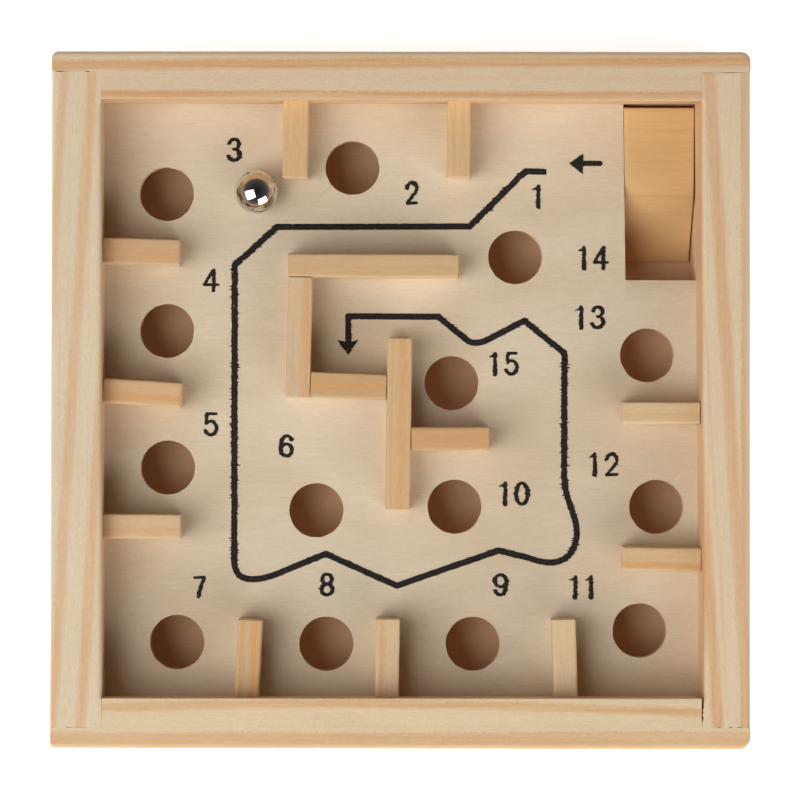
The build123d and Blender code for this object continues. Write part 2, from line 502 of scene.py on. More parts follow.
def hole_rings(number, centre):
    """Rings of points down a hole's wall, from the board's top to its underside."""
    angles = np.linspace(0, 2 * math.pi, RIM_POINTS, endpoint=False)
    rim_chips = chips(angles, 100 + number)
    under_chips = chips(angles, 200 + number, count=12, depth=0.3)
    rough = 0.02 * ripples(angles * HOLE_RADIUS, 2.1, 300 + number)
    rough = rough * np.minimum(1, np.minimum(angles, 2 * math.pi - angles) / 0.5)
    rings = []
    for share, back in PLY_EDGE:
        torn = rim_chips * max(0.0, 1 - share / 0.12) + under_chips * max(0.0, (share - 0.9) / 0.1)
        radius = HOLE_RADIUS + back + rough + torn
        z = BOARD_TOP - share * (BOARD_TOP - BOARD_BOTTOM)
        x = centre[0] + radius * np.cos(angles)
        y = centre[1] + radius * np.sin(angles)
        rings.append(np.column_stack([x, y, np.full(RIM_POINTS, z)]))
    return rings


def outline_places():
    """Places round the board's outside, and which way the edge falls back at each of them."""
    b = BOARD_HALF
    corners = [(-b, -b), (b, -b), (b, NOTCH_Y), (NOTCH_X, NOTCH_Y), (NOTCH_X, b), (-b, b)]
    places, fall_back = [], []
    for (x0, y0), (x1, y1) in zip(corners, corners[1:] + corners[:1]):
        steps = max(1, round(math.hypot(x1 - x0, y1 - y0) / OUTLINE_STEP))
        on_side = x0 == x1 == NOTCH_X
        on_front = y0 == y1 == NOTCH_Y
        for share in np.arange(steps) / steps:
            x, y = x0 + (x1 - x0) * share, y0 + (y1 - y0) * share
            places.append((notch_side(y) if on_side else x, y))
            fall_back.append((-0.5 if on_side else 0.0, -1.0 if on_front else 0.0))
    places, fall_back = np.array(places), np.array(fall_back)
    at_corner = np.all(np.isclose(places, (notch_side(NOTCH_Y), NOTCH_Y)), axis=1)
    fall_back[at_corner] = (-0.5, -1.0)
    return places, fall_back


def outline_rings():
    """Rings round the board's outside. Only the notch's two edges show and are eased."""
    places, fall_back = outline_places()
    wander = SAWING_WAVE * ripples(places.sum(axis=1), 6.5, 11)[:, None]
    rings = []
    for share, back in PLY_EDGE:
        z = np.full((len(places), 1), BOARD_TOP - share * (BOARD_TOP - BOARD_BOTTOM))
        rings.append(np.hstack([places + fall_back * (back + SAWING_WAVE + wander), z]))
    return rings


def flat_face(loops, z, first):
    """Triangles of the board's top or underside, between its outline and its holes."""
    points, edges = [], []
    for loop in loops:
        start = len(points)
        points += [tuple(p[:2]) for p in loop]
        edges += [(start + i, start + (i + 1) % len(loop)) for i in range(len(loop))]
    for x in spread(-BOARD_HALF + 4, BOARD_HALF - 4, 6):
        for y in spread(-BOARD_HALF + 4, BOARD_HALF - 4, 6):
            if on_board(x, y, margin=1.2):
                points.append((x, y))
    flat, triangles = triangulated(points, edges)
    kept = [t for t in triangles if on_board(*flat[list(t)].mean(axis=0))]
    numbered = [tuple(first + i for i in triangle) for triangle in kept]
    return np.column_stack([flat, np.full(len(flat), z)]), numbered


def on_board(x, y, margin=0.0):
    """Whether a place is on the board's wood and not in a hole or the notch."""
    if x > notch_side(y) - margin and y > NOTCH_Y - margin:
        return False
    if max(abs(x), abs(y)) > BOARD_HALF:
        return False
    return all(math.hypot(x - c[0], y - c[1]) > HOLE_RADIUS + margin for c in HOLES.values())


def maze_board():
    """The drilled plywood board with eased, slightly torn rims."""
    stacks = [outline_rings()] + [hole_rings(number, centre) for number, centre in HOLES.items()]
    points, faces, total = [], [], 0
    for stack in stacks:
        points.append(np.concatenate(stack))
        faces += wall_faces(stack, total)
        total += len(points[-1])
    for level, z in ((0, BOARD_TOP), (-1, BOARD_BOTTOM)):
        flat, triangles = flat_face([stack[level] for stack in stacks], z, total)
        points.append(flat)
        faces += triangles
        total += len(flat)
    points = np.concatenate(points)
    return mesh_piece("maze_board_plywood", points, faces, GAME_BODY, "board_plywood", "maze_board")


# ---------- ramp ----------
def ramp_profile():
    """Heights along the ramp from its front end to its back, from the CAD block's own side."""
    tops = {}
    for _, y, z in vertices_mm("return_ramp"):
        y = round(float(y), 3)
        tops[y] = max(tops.get(y, z), z)
    places = sorted(tops)
    return places, [tops[y] for y in places]


def return_ramp():
    """The ramp block, with a finely divided slope, eased edges and a rough sawn front."""
    low, high = corners_mm("return_ramp")
    places, heights = ramp_profile()
    front, ease = RAMP_FRONT_EASE, RAMP_EASE
    rings = []
    stations = [low[1], low[1] + 0.1, low[1] + front, *spread(low[1] + 1, high[1] - 0.5, 0.8)]
    stations += [high[1] - 0.2, high[1]]
    for y in stations:
        top = float(np.interp(y, places, heights))
        top -= round_over(y - low[1], front) + round_over(high[1] - y, ease)
        top -= SAWING_WAVE * (1 + float(ripples(y, 7.5, 21)))
        left = notch_side(y) + SAWING_WAVE
        right = high[0] + RAMP_CLOSES_UP + 0.04 * float(ripples(y, 13, 22))
        outline = [(left, low[2])]
        outline += arc((left + ease, top - ease), (ease, ease), 180, 90, 3)
        outline += [(left + (right - left) * share, top) for share in np.linspace(0.1, 0.9, 9)]
        outline += arc((right - ease, top - ease), (ease, ease), 90, 0, 3)
        outline += [(right, low[2])]
        rings.append(np.array([(x, y, z) for x, z in outline]))
    return mesh_piece("return_ramp_block", *loft(rings), GAME_BODY, "ramp_pine", "return_ramp")


# ---------- ball ----------
def steel_ball():
    """A finely divided polished ball."""
    centre = (BALL_LOW + BALL_HIGH) / 2
    radius = (BALL_HIGH[0] - BALL_LOW[0]) / 2
    shape = bmesh.new()
    bmesh.ops.create_icosphere(shape, subdivisions=6, radius=radius)
    points = np.array([tuple(v.co) for v in shape.verts]) + centre
    faces = [tuple(v.index for v in f.verts) for f in shape.faces]
    shape.free()
    return mesh_piece("steel_ball_polished", points, faces, BALL_BODY, "ball_steel", "steel_ball", 180.0)


# ---------- printed ink ----------
def cloud(xs, ys, step_x, step_y, seed):
    """A smooth random field between -1 and 1 over a grid, with its own grain in x and in y."""
    rng = np.random.default_rng(seed)
    columns = np.arange(xs[0] - step_x, xs[-1] + 2 * step_x, step_x)
    rows = np.arange(ys[0] - step_y, ys[-1] + 2 * step_y, step_y)
    lattice = rng.uniform(-1, 1, (len(rows), len(columns)))
    across = np.array([np.interp(xs, columns, row) for row in lattice])
    return np.array([np.interp(ys, rows, column) for column in across.T]).T


def stroke_field(x, y, strokes):
    """How deep each place is inside the strokes; a stroke is (points, half widths along it)."""
    field = np.full(x.shape, -9.0)
    for points, half_widths in strokes:
        marks = np.linspace(0, 1, len(half_widths))
        weights = np.interp(np.linspace(0, 1, len(points)), marks, half_widths)
        for (x0, y0), (x1, y1), w0, w1 in zip(points, points[1:], weights, weights[1:]):
            dx, dy = x1 - x0, y1 - y0
            near = np.abs(x - (x0 + x1) / 2) < abs(dx) / 2 + 2
            near &= np.abs(y - (y0 + y1) / 2) < abs(dy) / 2 + 2
            share = np.clip(((x - x0) * dx + (y - y0) * dy) / max(dx * dx + dy * dy, 1e-9), 0, 1)
            distance = np.hypot(x - x0 - share * dx, y - y0 - share * dy)
            depth = w0 + (w1 - w0) * share - distance
            field = np.where(near, np.maximum(field, depth), field)
    return field


def whiskers(ys, seed, longest):
    """How far ink has run along single fibres, at each height."""
    rng = np.random.default_rng(seed)
    rows = np.arange(ys[0] - 0.2, ys[-1] + 0.4, 0.12)
    lengths = longest * rng.uniform(0.25, 1.0, len(rows)) * (rng.uniform(0, 1, len(rows)) < 0.1)
    return np.interp(ys, rows, lengths)[:, None]


def wedge_field(x, y, corners):
    """How deep each place is inside a convex outline, given anticlockwise."""
    field = np.full(x.shape, 9.0)
    for (x0, y0), (x1, y1) in zip(corners, corners[1:] + corners[:1]):
        length = math.hypot(x1 - x0, y1 - y0)
        field = np.minimum(field, ((x1 - x0) * (y - y0) - (y1 - y0) * (x - x0)) / length)
    return field


def traced(field, xs, ys):
    """The outline where a field crosses zero: points, and pairs of points that bound it."""
    inside = field > 0
    numbers, points, pairs = {}, [], []

    def crossing(row, column, step_row, step_column):
        key = (row, column, step_row)
        if key not in numbers:
            a, b = field[row, column], field[row + step_row, column + step_column]
            share = a / (a - b)
            x = xs[column] + share * step_column * INK_CELL
            y = ys[row] + share * step_row * INK_CELL
            numbers[key] = len(points)
            points.append((x, y))
        return numbers[key]

    corner_sum = inside[:-1, :-1].astype(int) + inside[1:, :-1] + inside[:-1, 1:] + inside[1:, 1:]
    for row, column in np.argwhere((corner_sum > 0) & (corner_sum < 4)):
        a, b = inside[row, column], inside[row, column + 1]
        c, d = inside[row + 1, column], inside[row + 1, column + 1]
        sides = (
            (a != b, row, column, 0, 1), (b != d, row, column + 1, 1, 0),
            (c != d, row + 1, column, 0, 1), (a != c, row, column, 1, 0),
        )
        found = [crossing(*side) for crossed, *side in sides if crossed]
        pairs += [tuple(found[:2]), tuple(found[2:])] if len(found) == 4 else [tuple(found)]
    return points, pairs


def ink_field(shape, xs, ys, seed, longest_whisker):
    """How deep each place on a grid is inside a mark, once its ink has crept and worn."""
    creep = INK_CREEP * cloud(xs, ys, 0.5, 0.11, seed)
    creep += INK_DRIFT * cloud(xs, ys, 0.9, 0.3, seed + 1)
    x, y = np.meshgrid(xs, ys)
    field = shape(x + creep, y)
    for way in (1, -1):
        run = whiskers(ys, seed + 2 + way, longest_whisker)
        field = np.maximum(field, shape(x + creep + way * run, y))
    field += INK_SWELL * cloud(xs, ys, 0.4, 0.25, seed + 4)
    worn = np.clip(cloud(xs, ys, 2.2, 2.2, seed + 5) + 0.15, 0, 1)
    return field - 2.2 * worn * np.clip(cloud(xs, ys, 0.21, 0.16, seed + 6) - 0.66, 0, 1)


def field_at(field, column, row):
    """A field's value at a place between four grid points."""
    i, j = int(column), int(row)
    u, v = column - i, row - j
    low = field[j, i] * (1 - u) + field[j, i + 1] * u
    high = field[j + 1, i] * (1 - u) + field[j + 1, i + 1] * u
    return low * (1 - v) + high * v


def ink_layer(flat, triangles):
    """Points and faces of a thin closed layer on the board, from its triangles seen from above."""
    count = len(flat)
    uses = {}
    for triangle in triangles:
        for a, b in zip(triangle, triangle[1:] + triangle[:1]):
            uses.setdefault(frozenset((a, b)), []).append((a, b))
    rim = [used[0] for used in uses.values() if len(used) == 1]
    faces = triangles + [tuple(i + count for i in reversed(t)) for t in triangles]
    faces += [(b, a, a + count, b + count) for a, b in rim]
    top = np.column_stack([flat, np.full(count, BOARD_TOP + INK_LIFT)])
    under = np.column_stack([flat, np.full(count, BOARD_TOP - INK_SINK)])
    return np.concatenate([top, under]), faces


def ink_mark(name, shape, bounds, seed, longest_whisker):
    """One printed mark. shape(x, y) says how deep places are inside it before the ink creeps."""
    low_x, low_y, high_x, high_y = bounds
    xs = np.arange(low_x - INK_MARGIN, high_x + INK_MARGIN, INK_CELL)
    ys = np.arange(low_y - INK_MARGIN, high_y + INK_MARGIN, INK_CELL)
    field = ink_field(shape, xs, ys, seed, longest_whisker)
    flat, triangles = triangulated(*traced(field, xs, ys))
    inked = []
    for triangle in triangles:
        x, y = flat[list(triangle)].mean(axis=0)
        if field_at(field, (x - xs[0]) / INK_CELL, (y - ys[0]) / INK_CELL) > 0:
            inked.append(triangle)
    return mesh_piece(name, *ink_layer(flat, inked), GAME_BODY, "printed_ink")


def bezier(start, handle_a, handle_b, end, steps=10):
    """Points on a cubic curve, without its first point."""
    t = np.linspace(0, 1, steps + 1)[1:, None]
    shares = (1 - t) ** 3, 3 * (1 - t) ** 2 * t, 3 * (1 - t) * t ** 2, t ** 3
    points = [np.array(point, float) for point in (start, handle_a, handle_b, end)]
    return [tuple(place) for place in sum(share * point for share, point in zip(shares, points))]


def route_points():
    """The printed route from the start, round the board, to the middle."""
    route = [(26.55, 42.44), (23.1, 42.5), (12.9, 32.24)]
    route += [(-22.92, 32.08), (-30.71, 24.96), (-30.7, -29.6)]
    route += bezier(route[-1], (-30.7, -32.4), (-29.3, -34.3), (-23.5, -32.49))
    route += [(-13.75, -28.47), (-0.61, -34.36), (18.28, -27.82), (23.64, -29.15)]
    route += bezier(route[-1], (27.6, -30.6), (31.9, -31.0), (32.8, -24.98))
    route += bezier(route[-1], (32.9, -21.4), (30.4, -18.6), (30.4, -13.6))
    route += [(30.45, 8.74), (22.97, 14.77), (16.6, 11.45)]
    route += bezier(route[-1], (14.7, 10.4), (13.1, 10.35), (11.9, 11.5))
    route += [(7.04, 15.47), (-9.66, 15.54), (-9.65, 10.2)]
    return route


def route_shape(x, y):
    """The route line and the arrow head that ends it."""
    tip, right, notch, left = (-9.65, 8.3), (-7.75, 11.2), (-9.65, 10.7), (-11.75, 11.2)
    line = stroke_field(x, y, [(route_points(), (ROUTE_HALF_WIDTH, ROUTE_HALF_WIDTH))])
    halves = [wedge_field(x, y, [tip, right, notch]), wedge_field(x, y, [tip, notch, left])]
    return np.maximum(line, np.maximum(*halves))


def start_shape(x, y):
    """The short arrow that points from the ramp to the start of the route."""
    line = ([(33.0, 44.0), (37.05, 44.02)], (ARROW_HALF_WIDTH, ARROW_HALF_WIDTH))
    head = wedge_field(x, y, [(31.2, 44.0), (33.9, 41.95), (33.9, 45.8)])
    return np.maximum(stroke_field(x, y, [line]), head)


# Numeral strokes in a unit box: the points of a line, and the weights along it. The strokes of a
# 1 are in millimetres across, from its stem.
DIGITS = {
    "0": [(arc((0.5, 0.5), (0.5, 0.5), 0, 360, 28), (1.1, 0.75, 1.1, 0.75, 1.1))],
    "1": [
        ([(0.0, 1.0), (0.0, 0.0)], (0.8, 1.0, 1.1)),
        ([(-1.0, 0.84), (-0.4, 0.89), (-0.05, 0.95)], (0.3, 0.6, 0.9)),
        ([(0.0, 0.9), (0.45, 0.88)], (0.6, 0.15)),
    ],
    "2": [
        (arc((0.5, 0.72), (0.48, 0.28), 175, -35, 14) + [(0.04, 0.0)], (1.05, 0.8, 1.1, 0.8, 0.75)),
        ([(0.04, 0.0), (1.0, 0.02)], (0.85, 0.75, 0.7)),
    ],
    "3": [
        (arc((0.48, 0.76), (0.44, 0.24), 165, -60, 14) + [(0.38, 0.53)], (0.95, 0.75, 1.05, 0.6)),
        ([(0.38, 0.53)] + arc((0.46, 0.27), (0.54, 0.27), 65, -160, 16), (0.6, 1.1, 1.0, 0.8, 0.95)),
    ],
    "4": [
        ([(0.72, 0.0), (0.72, 1.0)], (0.95, 0.9)),
        ([(0.68, 1.0), (-0.04, 0.3)], (0.75, 0.62, 0.75)),
        ([(-0.04, 0.28), (1.08, 0.28)], (0.75, 0.68, 0.6)),
    ],
    "5": [
        ([(0.95, 1.02), (0.12, 1.02)], (0.65, 0.7)),
        ([(0.14, 1.0), (0.1, 0.55)], (0.8, 0.75)),
        ([(0.1, 0.55)] + arc((0.47, 0.33), (0.53, 0.33), 125, -155, 16), (0.6, 0.8, 1.0, 0.8, 0.95)),
    ],
    "6": [
        (
            arc((0.52, 0.72), (0.46, 0.28), 20, 110, 8)
            + bezier((0.35, 0.97), (0.1, 0.9), (0.0, 0.65), (0.0, 0.3)),
            (0.9, 0.75, 0.95, 1.05),
        ),
        (arc((0.5, 0.3), (0.5, 0.3), 0, 360, 24), (1.0, 0.7, 1.0, 0.75, 1.0)),
    ],
    "7": [
        ([(-0.05, 1.0), (0.98, 1.02)], (0.68, 0.72)),
        ([(0.98, 1.0)] + bezier((0.98, 1.0), (0.72, 0.7), (0.5, 0.4), (0.38, 0.0)), (0.75, 0.85, 0.95)),
    ],
    "8": [
        (arc((0.5, 0.76), (0.43, 0.24), 0, 360, 24), (1.0, 0.75, 1.0, 0.75, 1.0)),
        (arc((0.5, 0.26), (0.5, 0.26), 0, 360, 24), (1.05, 0.8, 1.05, 0.8, 1.05)),
    ],
    "9": [
        (
            arc((0.48, 0.28), (0.46, 0.28), 200, 290, 8)
            + bezier((0.65, 0.03), (0.9, 0.1), (1.0, 0.35), (1.0, 0.7)),
            (0.95, 0.8, 1.0, 1.05),
        ),
        (arc((0.5, 0.7), (0.5, 0.3), 0, 360, 24), (1.05, 0.75, 1.05, 0.75, 1.05)),
    ],
}

# Printed numbers: centre x, centre y, width and height over all, in millimetres
NUMBERS = {
    1: (25.36, 37.83, 1.66, 4.64), 2: (2.1, 38.45, 2.68, 4.64), 3: (-30.79, 46.39, 2.79, 4.73),
    4: (-35.08, 22.17, 3.1, 4.5), 5: (-35.05, -4.55, 2.84, 4.63), 6: (-21.09, -8.51, 2.86, 4.53),
    7: (-37.05, -34.63, 2.52, 4.25), 8: (-13.51, -34.15, 2.84, 4.62), 9: (18.62, -34.18, 2.93, 4.5),
    10: (21.32, -17.29, 5.51, 4.72), 11: (33.72, -34.59, 4.6, 4.59), 12: (37.86, -11.85, 5.59, 4.66),
    13: (35.31, 15.43, 5.46, 4.63), 14: (35.92, 26.45, 5.57, 4.63), 15: (19.31, 6.76, 5.42, 4.59),
}
# Widths of the numerals in a number of two digits, before they are fitted to its printed width
DIGIT_WIDTHS = {"0": 3.2, "1": 1.6, "4": 3.2}
DIGIT_WIDTH = 2.75
DIGIT_SPACE = 1.1
STEM_OF_1 = 0.75                 # where the stem of a 1 stands, as a share of its width


def number_strokes(number, centre_x, centre_y, width, height):
    """The strokes of one number, fitted to its printed size."""
    text = str(number)
    widths = [DIGIT_WIDTHS.get(digit, DIGIT_WIDTH) for digit in text]
    natural = sum(widths) + DIGIT_SPACE * (len(text) - 1)
    scale = width / natural
    left = centre_x - width / 2
    strokes = []
    for digit, own_width in zip(text, widths):
        box_width = own_width * scale - 2 * NUMBER_HALF_WIDTH
        box_height = height - 2 * NUMBER_HALF_WIDTH
        x0, y0 = left + NUMBER_HALF_WIDTH, centre_y - box_height / 2
        if digit == "1":
            x0 += STEM_OF_1 * box_width
            box_width = 1.0
        for line, weights in DIGITS[digit]:
            points = [(x0 + u * box_width, y0 + v * box_height) for u, v in line]
            strokes.append((points, [NUMBER_HALF_WIDTH * weight for weight in weights]))
        left += (own_width + DIGIT_SPACE) * scale
    return strokes


def printed_marks():
    """The route, the start arrow and the numbers, each a thin layer of ink on the board."""
    route_bounds, arrow_bounds = (-31.5, -35.5, 33.8, 43.2), (31.0, 41.5, 38.0, 46.2)
    marks = [
        ink_mark("printed_route", route_shape, route_bounds, 500, ROUTE_WHISKER),
        ink_mark("printed_start_arrow", start_shape, arrow_bounds, 510, ARROW_WHISKER),
    ]
    for number, (x, y, width, height) in NUMBERS.items():
        shape = partial(stroke_field, strokes=number_strokes(number, x, y, width, height))
        bounds = (x - width / 2, y - height / 2, x + width / 2, y + height / 2)
        name = f"printed_number_{number}"
        marks.append(ink_mark(name, shape, bounds, 520 + 7 * number, NUMBER_WHISKER))
    return marks


# ---------- material helpers ----------
def paint(*rgb):
    """A colour given as it looks on a screen, 0 to 255, as the shader's linear values."""
    shares = [c / 255 for c in rgb]
    return (*[s / 12.92 if s < 0.04 else ((s + 0.055) / 1.055) ** 2.4 for s in shares], 1.0)


class Shader:
    """A material's node tree, with short ways to add nodes and join them."""

    def __init__(self, name):
        self.material = bpy.data.materials.new(name)
        self.material.use_nodes = True
        self.tree = self.material.node_tree
        self.surface = self.tree.nodes["Principled BSDF"]

    def join(self, value, socket):
        if isinstance(value, bpy.types.NodeSocket):
            self.tree.links.new(value, socket)
        else:
            socket.default_value = value

    def add(self, kind, inputs=None, **settings):
        node = self.tree.nodes.new(kind)
        for key, value in settings.items():
            setattr(node, key, value)
        for key, value in (inputs or {}).items():
            self.join(value, node.inputs[key])
        return node

    def math(self, operation, *values, clamp=False):
        inputs = dict(enumerate(values))
        return self.add("ShaderNodeMath", inputs, operation=operation, use_clamp=clamp).outputs[0]

    def times(self, first, second):
        return self.math("MULTIPLY", first, second)

    def total(self, first, *others):
        for other in others:
            first = self.math("ADD", first, other)
        return first

    def away(self, value, middle):
        """How far a value is from a middle one, on either side."""
        return self.math("ABSOLUTE", self.math("SUBTRACT", value, middle))

    def mapped(self, vector, **inputs):
        return self.add("ShaderNodeMapping", {"Vector": vector, **inputs}).outputs[0]

    def coordinates(self, centre_mm, turn):
        """Places in millimetres in the piece's own axes: x along the grain, y across, z up."""
        place = self.add("ShaderNodeTexCoord").outputs["Object"]
        place = self.mapped(place, Scale=(1 / MM,) * 3)
        place = self.mapped(place, Location=tuple(-c for c in centre_mm))
        return self.mapped(place, Rotation=(0, 0, -turn))

    def split(self, vector):
        return self.add("ShaderNodeSeparateXYZ", {"Vector": vector}).outputs

    def noise(self, vector, stretch, detail, roughness, start=(0, 0, 0)):
        """Noise whose grain is stretch times finer than a millimetre along each axis."""
        sized = self.mapped(vector, Scale=stretch, Location=start)
        inputs = {"Vector": sized, "Scale": 1.0, "Detail": detail, "Roughness": roughness}
        return self.add("ShaderNodeTexNoise", inputs).outputs["Fac"]

    def ring_noise(self, ring, start, fineness):
        """Noise that changes only from one growth ring to the next."""
        place = self.add("ShaderNodeCombineXYZ", {0: start, 1: ring, 2: 0.0}).outputs[0]
        return self.noise(place, (0.01, fineness, 0.1), 3.0, 0.6)

    def linear(self, value, low, high, start, end, **settings):
        """A value carried from one range to another and held at the ends."""
        inputs = {"Value": value, "From Min": low, "From Max": high, "To Min": start, "To Max": end}
        return self.add("ShaderNodeMapRange", inputs, clamp=True, **settings).outputs["Result"]

    def smooth(self, value, low, high, start=0.0, end=1.0):
        """The same, easing in and out."""
        return self.linear(value, low, high, start, end, interpolation_type="SMOOTHSTEP")

    def between(self, noise, start, end):
        """Noise, which is mostly from 0.3 to 0.7, carried to another range."""
        return self.linear(noise, 0.3, 0.7, start, end)

    def mix(self, factor, first, second, blend="MIX"):
        inputs = {0: factor, 6: first, 7: second}
        return self.add("ShaderNodeMix", inputs, data_type="RGBA", blend_type=blend).outputs[2]

    def shade(self, colour, factor):
        """A colour made lighter or darker by a factor near 1."""
        grey = self.add("ShaderNodeCombineColor", {0: factor, 1: factor, 2: factor}).outputs[0]
        return self.mix(1.0, colour, grey, "MULTIPLY")

    def vary(self, colour, noise, low, high):
        """A colour shaded by noise, with factors from low to high."""
        return self.shade(colour, self.between(noise, low, high))

    def bump(self, height, distance_mm, strength):
        inputs = {"Height": height, "Distance": distance_mm * MM, "Strength": strength}
        return self.add("ShaderNodeBump", inputs).outputs["Normal"]

    def finish(self, colour, roughness, normal=None, **fixed):
        self.join(colour, self.surface.inputs["Base Color"])
        self.join(roughness, self.surface.inputs["Roughness"])
        if normal is not None:
            self.join(normal, self.surface.inputs["Normal"])
        for key, value in fixed.items():
            self.surface.inputs[key.replace("_", " ")].default_value = value
        return self.material


def dress(piece, material):
    """Gives a piece this one material."""
    piece.data.materials.clear()
    piece.data.materials.append(material)


# ---------- pine ----------
# Warmer side colour: partly the wood's side grain, partly painted warm bounced light
PINE_SIDE = paint(224, 184, 142)
# Painted shade: the left rail's inner face, darker than the other inner faces because it stands in shade
LEFT_INNER_PAINTED_SHADE = paint(206, 174, 140)
# Painted light: the front rail's inner face is paler than the wood, so that it throws more bounced light
# into the shadow beside it
FRONT_INNER_PAINTED_LIGHT = paint(248, 212, 164)
PINE_BAND = paint(211, 166, 116)
PINE_DEEP = paint(200, 146, 92)

# The wood of each rail, seen from above. Places across are measured in millimetres from the rail's
# middle line: towards the back on the end rails, towards the left on the side rails. "inward" is
# 1.0 where that direction faces the board. "slant" is how far the rings lean for each millimetre
# down. A band is its centre, how far it drifts and bows across for each millimetre along, its
# half width, how softly it fades, and its strength.
# "inner_face" is the colour of a rail's inner face: painted shade on the left rail, painted bounced
# light on the front rail
RAIL_GRAIN = {
    "frame_rail_back": {
        "turn": 0.0, "inward": -1.0, "inner_face": PINE_SIDE, "slant": 0.55, "seed": 1.0,
        "pale": paint(216, 194, 162),
        "bands": [
            (2.25, 0.0072, 0.0, 0.5, 0.9, 0.85), (-3.55, 0.0, 0.0, 0.35, 0.7, 0.85),
            (-4.7, 0.0, 0.0, 1.0, 0.7, 0.5), (4.4, 0.0, 0.0, 0.1, 0.6, 0.2),
        ],
    },
    "frame_rail_front": {
        "turn": 0.0, "inward": 1.0, "inner_face": FRONT_INNER_PAINTED_LIGHT, "slant": -0.5, "seed": 2.0,
        "pale": paint(220, 199, 163),
        "bands": [
            (3.6, -0.0105, -0.00035, 0.3, 0.9, 0.75), (-3.4, 0.0, 0.0, 1.4, 0.9, 0.65),
            (-1.75, 0.004, 0.0, 0.05, 0.35, 0.6), (-5.2, 0.0, 0.0, 0.6, 0.6, 0.5),
        ],
    },
    "frame_rail_left": {
        "turn": 90.0, "inward": -1.0, "inner_face": LEFT_INNER_PAINTED_SHADE, "slant": 0.6, "seed": 3.0,
        "pale": paint(219, 201, 171),
        "bands": [
            (0.8, -0.0593, 0.0, 0.3, 1.3, 0.6), (5.85, -0.0593, 0.0, 0.3, 1.1, 0.5),
            (-4.5, -0.0593, 0.0, 0.3, 1.3, 0.65), (10.9, -0.0593, 0.0, 0.3, 1.3, 0.55),
            (-9.8, -0.0593, 0.0, 0.3, 1.3, 0.55),
        ],
    },
    "frame_rail_right": {
        "turn": 90.0, "inward": 1.0, "inner_face": PINE_SIDE, "slant": -0.6, "seed": 4.0,
        "pale": paint(221, 200, 168),
        "bands": [
            (-0.75, 0.0615, 0.0, 0.5, 1.2, 0.65), (5.4, 0.068, 0.0, 0.4, 1.3, 0.8),
            (-3.4, 0.0, 0.0, 0.1, 0.8, 0.7), (2.9, 0.0615, 0.0, 0.05, 0.5, 0.25),
        ],
    },
}


def growth_bands(shader, along, across, bands):
    """The strength of the darker late wood at a place, from a list of bands."""
    total = None
    for centre, drift, bow, half_width, fade, strength in bands:
        course = shader.math("MULTIPLY_ADD", along, bow, drift)
        away = shader.away(across, shader.math("MULTIPLY_ADD", along, course, centre))
        band = shader.smooth(away, half_width, half_width + fade, strength, 0.0)
        total = band if total is None else shader.math("MAXIMUM", total, band)
    return total


def rail_late_wood(shader, place, grain, specks, streaks):
    """The darker late wood of a rail, and the fine rings behind it."""
    along, across, height = shader.split(place)
    start = 10 * grain["seed"]
    wander = shader.noise(place, (0.03, 0.1, 0.1), 2.0, 0.5, (start, 0, 0))
    wobble = shader.noise(place, (0.14, 0.5, 0.5), 2.0, 0.5, (start, 3, 0))
    ring = shader.total(
        shader.math("SUBTRACT", across, shader.times(height, grain["slant"])),
        shader.linear(wander, 0.0, 1.0, -0.4, 0.4),
        shader.linear(wobble, 0.0, 1.0, -0.25, 0.25),
        shader.between(specks, -0.16, 0.16),
    )
    bands = growth_bands(shader, along, ring, grain["bands"])
    fine_rings = shader.ring_noise(ring, start, 0.9)
    below_top = shader.smooth(height, -3.0, -0.8, 1.0, 0.25)
    side_rings = shader.times(shader.smooth(fine_rings, 0.5, 0.72, 0.0, 0.75), below_top)
    late_wood = shader.math("MAXIMUM", bands, side_rings)
    late_wood = shader.times(late_wood, shader.between(streaks, 0.75, 1.15))
    streaked = shader.linear(streaks, 0.4, 0.8, 0.0, 0.14)
    return shader.math("ADD", late_wood, streaked, clamp=True), fine_rings


def rail_sides(shader, colour, place, fine_rings, grain):
    """Colours a rail's side faces: all in a warmer side colour, the inner one in its rail's given
    colour, the outer one with rings and painted shade.
    """
    _, across, height = shader.split(place)
    facing_in = shader.times(across, grain["inward"])
    inner_face = shader.smooth(facing_in, RAIL_WIDTH / 2 - 1.2, RAIL_WIDTH / 2 - 0.6)
    on_side = shader.smooth(height, -2.5, -0.4, 1.0, 0.0)
    # All side faces take some of the warmer side colour, partly painted warm bounced light
    colour = shader.mix(shader.times(on_side, 0.2), colour, PINE_SIDE)
    # The inner face takes its rail's given colour: painted shade on the left rail, painted bounced light
    # on the front rail
    inner_share = shader.times(shader.times(on_side, inner_face), 0.7)
    colour = shader.mix(inner_share, colour, grain["inner_face"])
    low_down = shader.smooth(height, -3.0, -1.0, 1.0, 0.0)
    outer_face = shader.math("SUBTRACT", low_down, inner_face, clamp=True)
    outer_rings = shader.times(shader.smooth(fine_rings, 0.5, 0.66), outer_face)
    colour = shader.mix(shader.times(outer_rings, 0.75), colour, PINE_DEEP)
    # Painted shade: the outer faces are darkened to 0.8
    return shader.shade(colour, shader.linear(outer_face, 0.0, 1.0, 1.0, 0.8))


